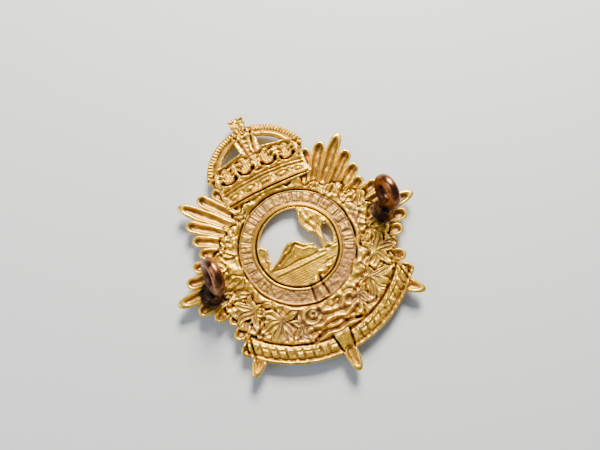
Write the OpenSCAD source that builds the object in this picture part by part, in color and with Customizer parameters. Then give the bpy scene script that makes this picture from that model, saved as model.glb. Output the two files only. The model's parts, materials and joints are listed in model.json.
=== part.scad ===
// Die-struck eight-pointed star cap badge with two brazed wire loops.
// It lies on its front, so +Z points out of its back, +Y towards the crown and +X to the right
// as the back is seen. The origin is under the middle of its outline, at the lowest point.

/* [Star] */
// Distance from the star's centre to its eight long points
star_r = 23.2; // [22:0.1:24]
// Thickness of the struck sheet
sheet_t = 1; // [0.8:0.05:1.2]
// Height of the back of the sheet beside the ring
back_in = 2; // [1.9:0.05:2.2]
// Height of the back of the sheet at the long points
back_out = 3; // [2.6:0.1:3.4]
// Depth of the hollow pressed along each ray
flute_depth = 0.35; // [0.2:0.05:0.45]

/* [Ring] */
// Radius of the ring's outer groove
groove_r = 10.7; // [10.4:0.1:10.9]
// Radius of the ring's inner groove
inner_groove_r = 7.45; // [7.3:0.05:7.6]
// How far the ring's centre is above the star's centre
ring_rise = 0.6; // [0.3:0.1:0.9]

/* [Crown] */
// Distance from the star's centre to the top of the crown
crown_top = 28.1; // [27.6:0.1:28.6]
// Outer radius of the crown's arches
arch_r = 10.3; // [10:0.1:10.6]
// Width of the crown at its circlet
circlet_w = 16.8; // [16:0.2:17.6]

/* [Ribbon] */
// Inner radius of the curved ribbon
ribbon_in = 19.1; // [18.8:0.1:19.4]
// Outer radius of the curved ribbon
ribbon_out = 22.2; // [21.9:0.1:22.5]
// Angle from straight down to each end of the ribbon
ribbon_half = 48; // [46:1:50]

/* [Loops] */
// Diameter of the loops' copper wire
wire_d = 2.05; // [1.9:0.05:2.2]
// Outside diameter of each loop
loop_d = 6.7; // [6.4:0.1:7]
// Diameter of the round eye in each loop
eye_d = 2.8; // [2.7:0.05:3]
// Distance of each loop's foot from the badge's middle line
foot_x = 17.1; // [16.6:0.1:17.6]
// Height of each loop's centre above its foot
loop_rise = 4.8; // [4.5:0.1:5.2]
// How far each loop's centre is carried towards the crown
loop_shift = 2; // [1:0.1:2.5]
// Lean of the left loop towards the right
left_lean = 22; // [0:1:26]
// Lean of the right loop towards the right
right_lean = 6; // [0:1:12]

/* [Braze] */
// Diameter of the braze metal around each foot
braze_d = 4.7; // [4.4:0.1:5]
// Thickness of the braze above the sheet at its rim
braze_edge = 0.15; // [0.1:0.05:0.3]

/* [Hidden] */
$fn = 96;

// The origin is in the middle of the outline, which runs from the lowest point to the crown's top.
star_y = (star_r - crown_top) / 2;
ring_y = star_y + ring_rise;

// Rays: one every 7.5 degrees, longest at the eight points and shorter on each side of them.
ray_step = 7.5;
rays_per_point = 6;
ray_count = 360 / ray_step;
ray_short = [0, 2.5, 4.1, 5.4];
ray_tip_r = [0.55, 0.8, 0.8, 0.8];
ray_shoulder = [3.4, 1.3, 1.3, 1.3];
ray_half_w = [1.4, 1.15, 1.15, 1.05];

// Back of the sheet as a shallow cone from the ring to the points.
ring_out = groove_r + 0.7;
back_slope = (back_out - back_in) / (star_r - ring_out);
flute_half_w = 0.85;
flute_start = 13;

// Heights of the struck parts
band_back = 1.5;
scene_back = 1.9;
crown_back = 2.4;
crown_front = 1.1;
ribbon_back = 2.45;
ribbon_front = 1.2;
relief_front = 0.3;

// Crown
arch_y = 15.4;
arch_w = 2.2;
eave_y = 18.6;
circlet_top = 15.8;
circlet_low = 12.4;
window_x = 2.1;
window_y = 20.1;
orb_r = 1.3;
orb_y = crown_top - 2.4;
cross_arm = 1.5;
cross_w = 1.2;

// Ribbon
ribbon_y = 2.5;

// Loops
loop_line_r = (loop_d - wire_d) / 2;
shank_d = wire_d + 0.2;
foot_y = star_y - 0.7;
seat_back = back_in + (foot_x - ring_out) * back_slope;
seat_z = seat_back - flute_depth - 0.1;
foot_z = seat_z + 0.25;
shank_angle = atan(loop_shift / loop_rise);
shank_len = norm([loop_shift, loop_rise]);

function ray_kind(i) = min(i % rays_per_point, rays_per_point - i % rays_per_point);
function ray_end(i) = star_r - ray_short[ray_kind(i)];
// Rays under the crown and the ribbon are covered, apart from the lowest long point.
function ray_shows(i) = let (a = i * ray_step)
    !(a > 62 && a < 118) && (a == 270 || !(a > 225 && a < 315));

module at_star() { translate([0, star_y, 0]) children(); }
module at_ring() { translate([0, ring_y, 0]) children(); }

// Points of one ray's outline, from one shoulder round its tip to the other
function ray_points(i) = let (
        a = i * ray_step,
        k = ray_kind(i),
        tip = ray_end(i) - ray_tip_r[k],
        shoulder = ray_end(i) - ray_shoulder[k],
        local = concat([[shoulder, -ray_half_w[k]]],
                       [for (t = [-70 : 35 : 70]) [tip + ray_tip_r[k] * cos(t), ray_tip_r[k] * sin(t)]],
                       [[shoulder, ray_half_w[k]]]))
    [for (p = local) [p[0] * cos(a) - p[1] * sin(a), p[0] * sin(a) + p[1] * cos(a)]];

module star_outline() {
    polygon([for (i = [0 : ray_count - 1]) each ray_points(i)]);
}

module crown_outline() {
    intersection() {
        translate([0, arch_y]) circle(arch_r);
        translate([-arch_r, eave_y]) square([2 * arch_r, arch_r]);
    }
    polygon([[-circlet_w / 2, circlet_low], [circlet_w / 2, circlet_low], [circlet_w / 2, circlet_top],
             [9.75, eave_y], [-9.75, eave_y], [-circlet_w / 2, circlet_top]]);
    translate([0, orb_y]) circle(orb_r);
    translate([-cross_w / 2, orb_y]) square([cross_w, crown_top - orb_y]);
    translate([-cross_arm, orb_y + 1]) square([2 * cross_arm, cross_w]);
}

module crown_windows() {
    intersection() {
        translate([0, arch_y]) circle(arch_r - arch_w);
        for (side = [-1, 1])
            polygon([[side * window_x, window_y + 0.9], [side * 7.5, window_y - 0.2],
                     [side * 7.5, window_y + 5], [side * (window_x + 0.3), window_y + 5]]);
    }
}

module ribbon_outline() {
    intersection() {
        translate([0, ribbon_y]) difference() {
            circle(ribbon_out);
            circle(ribbon_in);
        }
        translate([0, ribbon_y]) polygon([[0, 0], [-30 * tan(ribbon_half), -30], [30 * tan(ribbon_half), -30]]);
    }
}

// Sky behind the hills in the middle of the ring, open right through
module sky_outline() {
    intersection() {
        translate([0, ring_rise]) circle(inner_groove_r - 0.4);
        polygon([[-8, 8.5], [-8, 3.9], [-6.5, 3.3], [-5.5, 2.8], [-5.4, 0], [-5.7, -1], [-3.7, 0.2],
                 [-2.2, 1.3], [-0.7, 1.8], [0.5, 1.3], [1.5, 0.5], [2.8, 0], [3, -1.5], [3.9, -1.7],
                 [4.1, 0], [3.7, 1.5], [2.5, 3], [1.8, 5], [2.4, 8.5]]);
    }
    translate([5.9, 0.3]) rotate(-6) {
        for (end = [-1, 1])
            translate([0, end * 0.9]) circle(0.85);
        translate([-0.85, -0.9]) square([1.7, 1.8]);
    }
}

// The sloping sheet of uniform thickness that carries the rays
module field_shell() {
    r_out = star_r + 1;
    z_out = back_in + (r_out - ring_out) * back_slope;
    rotate_extrude() polygon([[ring_out - 0.6, back_in - sheet_t], [ring_out, back_in - sheet_t],
                              [r_out, z_out - sheet_t], [r_out, z_out], [ring_out, back_in],
                              [ring_out - 0.6, back_in]]);
}

module field() {
    intersection() {
        translate([0, 0, -1]) linear_extrude(back_out + 3) star_outline();
        field_shell();
    }
}

// Hollow along the back of one ray: a shallow vee laid along the slope
module flute(i) {
    run = ray_end(i) - ray_tip_r[ray_kind(i)] - flute_start;
    rise = 0.3;
    half = flute_half_w * (flute_depth + rise) / flute_depth;
    rotate([0, 0, i * ray_step])
        translate([flute_start, 0, back_in + (flute_start - ring_out) * back_slope])
            rotate([0, -atan(back_slope), 0]) rotate([90, 0, 90])
                linear_extrude(run) polygon([[0, -flute_depth], [half, rise], [-half, rise]]);
}

// Section of the ring: raised rims on the front, with the grooves of the strike behind them
module ring() {
    g = groove_r;
    n = inner_groove_r;
    rotate_extrude() polygon([[n - 0.45, 0.9], [n - 0.3, 0], [n + 0.4, 0], [n + 0.55, 0.5], [g - 0.6, 0.5],
                              [g - 0.4, 0], [g + 0.5, 0], [g + 0.7, back_in - sheet_t], [g + 0.7, back_in],
                              [g + 0.4, back_in], [g + 0.2, 0.9], [g - 0.2, 0.9], [g - 0.4, band_back],
                              [n + 0.5, band_back], [n + 0.1, 1.1], [n - 0.1, 1.1], [n - 0.25, scene_back],
                              [n - 0.45, scene_back]]);
}

module scene() {
    translate([0, 0, scene_back - sheet_t]) linear_extrude(sheet_t)
        translate([0, ring_rise]) circle(inner_groove_r - 0.4);
}

module crown() {
    translate([0, 0, crown_front]) linear_extrude(crown_back - crown_front) crown_outline();
    // arches, band and middle bar stand out on the front
    translate([0, 0, relief_front]) linear_extrude(crown_front - relief_front) {
        intersection() {
            translate([0, arch_y]) difference() {
                circle(arch_r);
                circle(arch_r - arch_w + 0.4);
            }
            translate([-arch_r, eave_y]) square([2 * arch_r, arch_r]);
        }
        translate([-circlet_w / 2, circlet_low + 0.3]) square([circlet_w, 2.4]);
        translate([-window_x + 0.4, circlet_low + 2]) square([2 * window_x - 0.8, 11]);
    }
}

module ribbon() {
    translate([0, 0, ribbon_front]) linear_extrude(ribbon_back - ribbon_front) ribbon_outline();
}

// Flat seat that the braze metal fills
module braze_seat(side) {
    translate([side * foot_x, foot_y, seat_z]) cylinder(d = braze_d, h = back_out);
}

module struck_sheet() {
    color([0.80, 0.63, 0.30]) difference() {
        union() {
            at_star() difference() {
                field();
                for (i = [0 : ray_count - 1])
                    if (ray_shows(i)) flute(i);
                translate([0, ring_rise, -1]) cylinder(r = groove_r + 0.55, h = back_out + 3);
            }
            at_ring() ring();
            at_star() scene();
            at_star() crown();
            at_star() ribbon();
        }
        at_star() translate([0, 0, -1]) linear_extrude(back_out + 3) {
            sky_outline();
            crown_windows();
        }
        for (side = [-1, 1])
            braze_seat(side);
    }
}

// Places a loop's own frame: its foot at the origin, its ring in the YZ plane
module at_foot(side, lean) {
    translate([side * foot_x, foot_y, foot_z]) rotate([0, lean, 0]) children();
}

module shank() {
    rotate([-shank_angle, 0, 0]) cylinder(d = shank_d, h = shank_len - loop_line_r + 0.3);
}

module wire_loop() {
    difference() {
        union() {
            translate([0, loop_shift, loop_rise]) rotate([0, 90, 0]) rotate_extrude()
                translate([loop_line_r, 0]) circle(d = wire_d);
            shank();
        }
        translate([-wire_d, loop_shift, loop_rise]) rotate([0, 90, 0]) cylinder(d = eye_d, h = 2 * wire_d);
    }
}

module braze(side, lean) {
    rim = braze_d / 2;
    sweep = rim - shank_d / 2;
    top = seat_back + braze_edge + sweep;
    difference() {
        translate([side * foot_x, foot_y, 0]) rotate_extrude()
            difference() {
                translate([0, seat_z]) square([rim, top - seat_z]);
                translate([rim, top]) circle(sweep);
            }
        at_foot(side, lean) shank();
    }
}

module left_loop() { color([0.60, 0.34, 0.20]) at_foot(-1, left_lean) wire_loop(); }
module right_loop() { color([0.60, 0.34, 0.20]) at_foot(1, right_lean) wire_loop(); }
module left_braze() { color([0.33, 0.25, 0.18]) braze(-1, left_lean); }
module right_braze() { color([0.33, 0.25, 0.18]) braze(1, right_lean); }

struck_sheet();
left_loop();
right_loop();
left_braze();
right_braze();
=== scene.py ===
"""A struck star cap badge that lies on its front, with the two wire loops on its back."""

import json
import math

import bpy
import numpy as np
from mathutils import Matrix, Vector


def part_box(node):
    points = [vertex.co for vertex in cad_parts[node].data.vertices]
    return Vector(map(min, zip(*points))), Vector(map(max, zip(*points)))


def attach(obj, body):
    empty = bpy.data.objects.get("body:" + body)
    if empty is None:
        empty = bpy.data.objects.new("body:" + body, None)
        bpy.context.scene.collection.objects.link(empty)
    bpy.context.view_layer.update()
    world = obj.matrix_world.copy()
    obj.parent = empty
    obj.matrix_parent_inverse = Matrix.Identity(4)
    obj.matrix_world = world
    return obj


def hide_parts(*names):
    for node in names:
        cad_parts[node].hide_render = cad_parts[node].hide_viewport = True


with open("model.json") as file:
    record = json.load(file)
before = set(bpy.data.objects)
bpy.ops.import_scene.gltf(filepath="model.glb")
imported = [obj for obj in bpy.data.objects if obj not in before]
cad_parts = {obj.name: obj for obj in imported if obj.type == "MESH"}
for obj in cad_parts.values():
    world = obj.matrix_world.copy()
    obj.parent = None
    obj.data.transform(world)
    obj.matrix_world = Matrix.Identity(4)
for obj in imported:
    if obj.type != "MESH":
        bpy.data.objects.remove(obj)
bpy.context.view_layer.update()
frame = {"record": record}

MM = 0.001

# ---------------------------------------------------------------------------------------------
# Sizes in millimetres. The relief is drawn from the star's centre.

sheet_low, sheet_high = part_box("struck_sheet")
STAR_R = (sheet_high.x - sheet_low.x) / 2 / MM
STAR_Y = sheet_low.y / MM + STAR_R
CROWN_TOP = sheet_high.y / MM - STAR_Y

SHEET_T = 0.9
# How far the badge's own edge rounds over, and the seams inside it
EDGE_ROUND = 0.05
SEAM_ROUND = 0.02

# The ring's two grooves, its centre's height above the star's, and where the rays' slope starts
GROOVE_R = 10.7
INNER_R = 7.45
RING_RISE = 0.6
RING_OUT = GROOVE_R + 0.7

RAY_STEP = math.radians(7.5)
RAYS_PER_POINT = 6
# The long points first, then the rays beside them, and last the rays that the ribbon hides
RAY_SHORT = np.array([0.0, 2.5, 4.1, 5.4, 6.5])
RAY_SHOULDER = np.array([6.9, 1.3, 1.3, 1.3, 1.3])
RAY_HALF_W = np.array([1.24, 1.15, 1.15, 1.1, 1.1])
RAY_BORDER = 0.42
RAY_HOLLOW = 0.60
HIDDEN_FROM = -17
HIDDEN_TO = -7

# Height of the star's back beside the ring and at the long points
BACK_IN = 2.0
BACK_OUT = 3.0

# The crown: its arches' centre and radii, its sides, its foot, and the orb and cross on top
ARCH_Y = 15.4
ARCH_R = 10.3
ARCH_IN = 8.05
EAVE_Y = 18.6
CIRCLET_HALF = 8.4
CROWN_LOW = 12.3
ORB_Y = CROWN_TOP - 2.4
CROSS_Y = ORB_Y + 1.55

# The ribbon: its arc's centre and radii, and the angle from its middle to each end
RIBBON_Y = 2.5
RIBBON_IN = 19.1
RIBBON_OUT = 22.2
RIBBON_MID = 20.6
RIBBON_HALF = math.radians(48)


# ---------------------------------------------------------------------------------------------
# Drawing tools for the relief


def ease(low, high, v):
    """0 at low and below, 1 at high and above, and smooth between them."""
    t = np.clip((v - low) / (high - low), 0.0, 1.0)
    return t * t * (3.0 - 2.0 * t)


def bell(d, width):
    """1 on a line and falling away to nothing about twice the width from it."""
    return np.exp(-((d / width) ** 2))


def lay(z, over, mask):
    """One surface laid over another where mask is 1."""
    return z + (over - z) * mask


def spin(x, y, angle):
    """The same points in axes turned by angle."""
    c, s = math.cos(angle), math.sin(angle)
    return x * c + y * s, y * c - x * s


def from_line(x, y, a, b):
    """Distance from the straight stretch between two points."""
    ax, ay = a
    dx, dy = b[0] - ax, b[1] - ay
    t = np.clip(((x - ax) * dx + (y - ay) * dy) / (dx * dx + dy * dy), 0.0, 1.0)
    return np.hypot(x - ax - t * dx, y - ay - t * dy)


def from_path(x, y, points):
    """Distance from a run of straight stretches."""
    return np.minimum.reduce([from_line(x, y, a, b) for a, b in zip(points, points[1:])])


def from_arc(x, y, centre, radius, start, end):
    """Distance from an arc that runs anticlockwise from start to end, in degrees."""
    cx, cy = centre
    middle = math.radians((start + end) / 2)
    half = math.radians((end - start) / 2)
    u, v = spin(x - cx, y - cy, middle)
    on_arc = np.abs(np.arctan2(v, u)) <= half
    tips = np.hypot(u - radius * math.cos(half), np.abs(v) - radius * math.sin(half))
    return np.where(on_arc, np.abs(np.hypot(u, v) - radius), tips)


def polygon_edge(x, y, points):
    """Distance from a closed outline, below zero inside it."""
    loop = list(points) + [points[0]]
    inside = np.zeros(np.shape(x), bool)
    for (ax, ay), (bx, by) in zip(loop, loop[1:]):
        crosses = (ay > y) != (by > y)
        rise = by - ay if by != ay else 1.0
        inside ^= crosses & (x < (bx - ax) * (y - ay) / rise + ax)
    return np.where(inside, -1.0, 1.0) * from_path(x, y, loop)


def box_edge(x, y, half_x, half_y):
    """Distance from a rectangle about the origin, below zero inside it."""
    dx, dy = np.abs(x) - half_x, np.abs(y) - half_y
    return np.hypot(np.maximum(dx, 0), np.maximum(dy, 0)) + np.minimum(np.maximum(dx, dy), 0)


def grain(x, y, size, seed):
    """Smooth random unevenness between -1 and 1 with lumps of about the given size."""
    cells = 96
    table = np.random.default_rng(seed).uniform(-1.0, 1.0, (cells, cells))
    u, v = x / size + 31.7, y / size + 17.3
    iu, iv = np.floor(u).astype(int), np.floor(v).astype(int)
    fu, fv = u - iu, v - iv
    fu, fv = fu * fu * (3 - 2 * fu), fv * fv * (3 - 2 * fv)
    a = table[iv % cells, iu % cells]
    b = table[iv % cells, (iu + 1) % cells]
    c = table[(iv + 1) % cells, iu % cells]
    d = table[(iv + 1) % cells, (iu + 1) % cells]
    return (a * (1 - fu) + b * fu) * (1 - fv) + (c * (1 - fu) + d * fu) * fv


# ---------------------------------------------------------------------------------------------
# The star's rays


def ray_frame(x, y, neighbour=0):
    """Place along and across the nearest ray, or one beside it, and which kind of ray it is."""
    index = np.round(np.arctan2(y, x) / RAY_STEP).astype(int) + neighbour
    away = np.arctan2(y, x) - index * RAY_STEP
    r = np.hypot(x, y)
    place = index % RAYS_PER_POINT
    kind = np.minimum(place, RAYS_PER_POINT - place)
    under_ribbon = (index >= HIDDEN_FROM) & (index <= HIDDEN_TO) & (kind > 0)
    return r * np.cos(away), r * np.sin(away), np.where(under_ribbon, 4, kind)


def ray_edge(along, across, kind):
    """Distance outside a ray's outline: straight sides that close in to a rounded tip."""
    half = RAY_HALF_W[kind]
    tip = STAR_R - RAY_SHORT[kind]
    s = np.clip((along - tip + RAY_SHOULDER[kind]) / RAY_SHOULDER[kind], 0.0, None)
    w = np.abs(across) / half
    blunt = np.sqrt(s**2 + w**2)
    keen = np.sqrt(s**4.5 + w**2)
    return (np.where(kind == 0, keen, blunt) - 1.0) * half


def rays_edge(x, y):
    """Outline of the star."""
    return np.minimum.reduce([ray_edge(*ray_frame(x, y, n)) for n in (-1, 0, 1)])


def rays(x, y):
    """Hollow flutes with raised borders, one along each ray."""
    r = np.hypot(x, y)
    z = BACK_IN + np.maximum(r - RING_OUT, 0.0) * (BACK_OUT - BACK_IN) / (STAR_R - RING_OUT)
    along, across, kind = ray_frame(x, y)
    wedge = np.abs(along) * math.tan(RAY_STEP / 2)
    half = np.minimum(RAY_HALF_W[kind], wedge + 0.12)
    edge = np.maximum(ray_edge(along, across, kind), np.abs(across) - half)
    border = RAY_BORDER + 0.10 * grain(x, y, 1.2, 1)
    deep = np.clip(-(edge + border) / (half - border), 0.0, 1.0)
    starts = ease(11.5, 14.5, along)
    z = z - RAY_HOLLOW * starts * np.sqrt(1.0 - (1.0 - deep) ** 2)
    z = z + 0.10 * bell(edge + border * 0.5, 0.22) + 0.07 * grain(x, y, 0.8, 2) * deep
    gap = np.abs(across) - wedge
    return z - 0.20 * bell(gap, 0.17) * ease(12.5, 14.0, along)


# ---------------------------------------------------------------------------------------------
# Leaves


def leaf(z, x, y, base, heading, length, width, seed):
    """Presses one long leaf into the surface: hollow sides, a raised midrib and side veins."""
    u, v = spin(x - base[0], y - base[1], math.radians(heading))
    s = np.clip(u / length, 0.0, 1.0)
    v = v - 0.10 * length * np.sin(math.pi * s) * (1 if seed % 2 else -1)
    lobes = 1.0 + 0.12 * np.sin(s * 12.0 + seed)
    half = width * np.sin(math.pi * s**0.7) ** 0.7 * lobes * (1.0 - 0.25 * s) + 1e-3
    edge = np.maximum(np.abs(v) - half, np.maximum(-u, u - length))
    hollow = np.sqrt(np.clip(1.0 - (np.abs(v) / half) ** 2, 0.0, 1.0))
    veins = bell(np.mod(u - np.abs(v) * 1.1, 1.25) - 0.62, 0.26)
    face = -0.22 * hollow + 0.26 * bell(v, 0.30) + 0.05 * veins * hollow
    face = face + 0.12 * bell(edge + 0.26, 0.28)
    z = z - 0.29 * bell(edge - 0.18, 0.28)
    return z + face * ease(0.10, -0.14, edge)


def broad_leaf(z, x, y, centre, heading, size, lobes=5):
    """Presses one pointed, lobed leaf into the surface, with a vein to each lobe."""
    u, v = x - centre[0], y - centre[1]
    r, a = np.hypot(u, v), np.arctan2(v, u) - math.radians(heading)
    step = 2 * math.pi / (lobes + 1)
    from_lobe = np.mod(a + step / 2, step) - step / 2
    point = (1.0 - np.abs(from_lobe) / (step / 2)) ** 1.25
    longest = 0.80 + 0.20 * np.cos(a)
    stalk = bell(np.mod(a, 2 * math.pi) - math.pi, 0.42)
    reach = size * (0.40 + 0.60 * point + 0.03 * np.cos(a * 22.0)) * longest * (1.0 - 0.4 * stalk)
    edge = (r - reach) * 0.72
    hollow = np.clip(-edge / (0.30 * size), 0.0, 1.0) ** 0.6
    vein = bell(r * np.sin(from_lobe), 0.24) * ease(0.0, -0.5, edge)
    face = -0.30 * hollow + 0.26 * vein + 0.16 * bell(edge + 0.24, 0.24)
    z = z - 0.28 * bell(edge - 0.18, 0.30)
    return lay(z, 2.22 + face, ease(0.12, -0.18, edge))


# How far the leaves reach, by the angle above level
WREATH_REACH = [
    (-90, 18.5), (-50, 18.3), (-20, 17.2), (0, 16.6), (15, 16.0), (30, 14.6), (45, 13.5), (60, 13.2),
    (90, 13.6),
]
# Place, heading and size of the broad leaves on the right; the left mirrors them
BROAD_LEAVES = [(12.0, -6.4, -15, 4.3), (8.7, -10.3, -62, 4.6), (5.4, -12.0, -100, 3.4)]


def wreath_edge(x, y):
    """Ragged outer edge of the leaves around the ring."""
    r, a = np.hypot(x, y), np.degrees(np.arctan2(y, np.abs(x)))
    turns, reaches = np.array(WREATH_REACH).T
    reach = np.interp(a, turns, reaches)
    saw = np.abs(np.mod(a / 13.0 + 0.08 * x, 1.0) - 0.5) * 2.0
    return r - reach + 1.1 * saw - 0.55 * grain(x, y, 1.1, 3)


def wreath(x, y):
    """Leaves that lie around the ring and fill the space down to the ribbon."""
    lumps = grain(x, y, 1.3, 5) * 0.16 + grain(x, y, 0.6, 6) * 0.10
    r = np.hypot(x, y)
    x, y = x + 0.62 * grain(x, y, 1.9, 60), y + 0.62 * grain(x, y, 2.1, 61)
    z = BACK_IN + 0.08 + np.maximum(r - RING_OUT, 0.0) * 0.07 + lumps
    for side in (-1, 1):
        for j in range(11):
            a = 58 - 9.8 * j
            reach = 11.5 + 2.2 * (j % 2)
            base = (side * reach * math.cos(math.radians(a)), reach * math.sin(math.radians(a)))
            turn = a + (34 if j % 3 else -22) + 6 * side
            heading = turn if side > 0 else 180 - turn
            z = leaf(z, x, y, base, heading, 5.0 + 0.6 * (j % 2), 1.45, j)
        for bx, by, turn, size in BROAD_LEAVES:
            heading = turn + 10 * side if side > 0 else 180 - turn
            z = broad_leaf(z, x, y, (side * bx, by), heading, size)
    return z


# Centre, radius and the two end angles of each curl, and the lines of the stems that wave
CURLS = [
    ((-3.3, -11.7), 1.35, 40, 320),
    ((-2.9, -11.5), 0.45, -60, 210),
    ((1.9, -11.2), 1.15, -70, 190),
    ((3.9, -11.9), 1.00, 20, 250),
    ((4.6, -13.9), 0.80, -110, 130),
    ((-4.6, -14.3), 0.75, 60, 280),
]
WAVES = [
    [(-3.9, -13.4), (-2.6, -13.9), (-1.0, -13.4), (0.6, -13.5), (2.2, -14.0), (3.7, -13.4)],
    [(-1.4, -10.4), (-1.0, -11.6), (0.2, -12.2), (1.2, -12.3)],
]


def curls(z, x, y):
    """Curling stems under the ring, with a waved band below them."""
    strokes = [from_arc(x, y, centre, radius, start, end) for centre, radius, start, end in CURLS]
    strokes += [from_path(x, y, wave) for wave in WAVES]
    nearest = np.minimum.reduce(strokes)
    z = z + 0.34 * bell(nearest, 0.36) - 0.26 * bell(nearest - 0.80, 0.28)
    low = from_path(x, y, [(-4.4, -15.5), (-2.0, -15.0), (0, -15.3), (1.8, -15.0), (4.4, -15.4)])
    return z - 0.42 * bell(low, 0.28) + 0.2 * bell(low - 0.55, 0.26)


# ---------------------------------------------------------------------------------------------
# The ring and the scene inside it

# Distance from the ring's centre and height of its back there
RING_SECTION = [
    (0.0, 1.78), (7.05, 1.78), (7.22, 1.84), (INNER_R, 1.36), (7.68, 1.88), (7.85, 1.92), (8.15, 1.58),
    (8.4, 1.60), (10.2, 1.62), (10.42, 1.70), (GROOVE_R, 1.02), (10.98, 1.86), (11.3, 2.04), (11.7, 2.0),
    (12.2, 1.98),
]


def ring_section(rho):
    """Height of the ring's turned section."""
    at, height = np.array(RING_SECTION).T
    return np.interp(rho, at, height)


def ring_band(x, y):
    """Plain blocks pressed along the upper ring and a fine tooling mark along the lower ring."""
    rho, a = np.hypot(x, y - RING_RISE), np.degrees(np.arctan2(y - RING_RISE, x))
    pitch = 11.5
    turn = np.mod(a + 90, 360) - 58
    cell = np.floor(turn / pitch).astype(int)
    u = np.radians(np.mod(turn, pitch) - pitch / 2) * rho
    wide = 0.52 + 0.18 * ((cell * 7) % 3) / 2.0
    block = box_edge(u, rho - 9.28, wide, 0.80) - 0.08
    bar = bell(u + 0.12 * ((cell * 5) % 3 - 1), 0.16) * ((cell * 5) % 4 < 2)
    lettered = ease(0.0, 4.0, turn) * ease(250.0, 242.0, turn)
    z = (0.07 * ease(0.10, -0.12, block) - 0.09 * bell(block - 0.08, 0.18) - 0.06 * bar) * lettered
    tooling = 0.008 * np.sin(rho * 19.0 + 0.6 * grain(x, y, 1.5, 9)) * (1.0 - lettered)
    reach = ease(8.15, 8.4, rho) * ease(10.35, 10.1, rho)
    return (z + tooling + 0.05 * grain(x, y, 0.5, 10)) * reach


# The open sky: down the bank on the left, over the hills, and up beside the tree
SKY = [
    (-8.0, 8.5), (-7.6, 3.3), (-6.9, 3.15), (-6.0, 3.4), (-5.1, 2.4), (-5.2, 1.6), (-5.7, 0.6),
    (-5.3, 0.1), (-5.9, -1.0), (-4.2, -0.1), (-2.8, 1.1), (-1.6, 1.85), (-0.2, 1.8), (0.5, 1.4),
    (1.5, 0.35), (2.8, -0.2), (3.1, -1.6), (4.0, -1.7), (4.2, -0.1), (3.9, 1.2), (2.8, 2.2),
    (2.3, 3.4), (2.1, 4.8), (2.5, 6.2), (2.7, 8.5),
]
HILL_FOOT = [(-4.4, -1.0), (-3.0, -0.3), (-1.7, 0.1), (-0.4, 1.2), (0.9, 0.0), (1.8, -0.2), (2.9, -0.9)]


def sky_edge(x, y):
    """Outline of the open sky and of the gap behind the tree, below zero inside them."""
    in_ring = np.hypot(x, y - RING_RISE) - (INNER_R - 0.38)
    sky = np.maximum(polygon_edge(x, y, SKY) - 0.05, in_ring)
    u, v = spin(x - 5.95, y - 0.35, math.radians(-4))
    gap = np.hypot(u / 0.88, v / 1.85) - 1.0
    return np.minimum(sky, gap * 0.9)


def hills_relief(x, y):
    """Hills with a raised lip towards the open sky."""
    lip = sky_edge(x, y)
    z = 0.20 * bell(lip - 0.26, 0.26) * ease(-0.4, 0.05, lip)
    slope = from_path(x, y, HILL_FOOT)
    z = z - 0.18 * bell(slope, 0.17) + 0.08 * bell(slope - 0.4, 0.2)
    fold = from_path(x, y, [(-0.4, 1.2), (-0.9, 0.2), (-1.2, -0.9)])
    z = z - 0.10 * bell(fold, 0.15) * ease(1.2, 0.4, y)
    z = z + 0.05 * grain(x, y, 0.9, 11) * ease(-2.0, -1.6, y)
    left_bank = ease(-4.9, -5.6, x) * ease(4.2, 3.4, y) * ease(-2.2, -1.2, y)
    return z + 0.08 * grain(x, y, 0.7, 14) * left_bank


def water_relief(x, y):
    """The shore, a calm line, fine ripples and the near bank."""
    shore = y + 2.0 + 0.10 * np.sin(x * 1.3)
    z = -0.14 * bell(shore, 0.16) * ease(-6.4, -5.0, x)
    z = z + 0.16 * bell(y + 2.8, 0.16) * ease(-6.0, -5.2, x) * ease(4.4, 3.0, x)
    hatch = 0.012 * np.sin(y * 16.0 + 0.5 * grain(x, y, 2.0, 16))
    z = z + hatch * ease(-2.9, -3.2, y)
    bank = y + 5.9 - 0.05 * (x - 1.0) ** 2 + 0.16 * np.sin(x * 3.6)
    z = z + (0.14 * bell(bank - 0.5, 0.24) - 0.32 * bell(bank, 0.22)) * ease(0.6, 1.3, x)
    ripple = y + 4.4 - 0.16 * (x - 3.6) + 0.08 * np.sin(x * 3.0)
    return z - 0.12 * bell(ripple, 0.16) * ease(2.2, 3.4, x)


def tree_relief(x, y):
    """Clumps of leaves over a trunk and one branch."""
    crown_of_leaves = ease(1.7, 2.5, x) * ease(1.4, 2.6, y + 0.25 * (x - 3.0))
    clumps = grain(x, y, 1.0, 12) + 0.4 * grain(x, y, 0.5, 13)
    z = 0.10 * clumps * crown_of_leaves
    trunk = from_path(x, y, [(4.75, -1.6), (4.7, 0.6), (4.5, 2.4), (3.6, 4.2), (3.3, 6.2)])
    z = z + 0.13 * bell(trunk, 0.36) - 0.12 * bell(trunk - 0.56, 0.17)
    branch = from_path(x, y, [(4.6, 2.0), (5.4, 3.0), (5.6, 4.4)])
    return z - 0.10 * bell(branch, 0.17)


def post_relief(z, x, y):
    """The upright that crosses the ring at the bottom."""
    sway = 0.12 * np.sin((y + 6.0) * 1.6)
    span = ease(-9.9, -9.3, y) * ease(-5.6, -6.3, y)
    z = z + 0.30 * bell(x - 0.15 - sway, 0.42) * span
    z = z - 0.42 * bell(x + 1.15 - 0.12 * (y + 8), 0.19) * span * ease(-6.2, -7.0, y)
    z = z - 0.42 * bell(x - 1.15 - sway, 0.20) * span
    knot = np.hypot((x - 1.2) * 0.7, y + 6.35)
    return z - 0.34 * bell(knot, 0.30)


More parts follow.
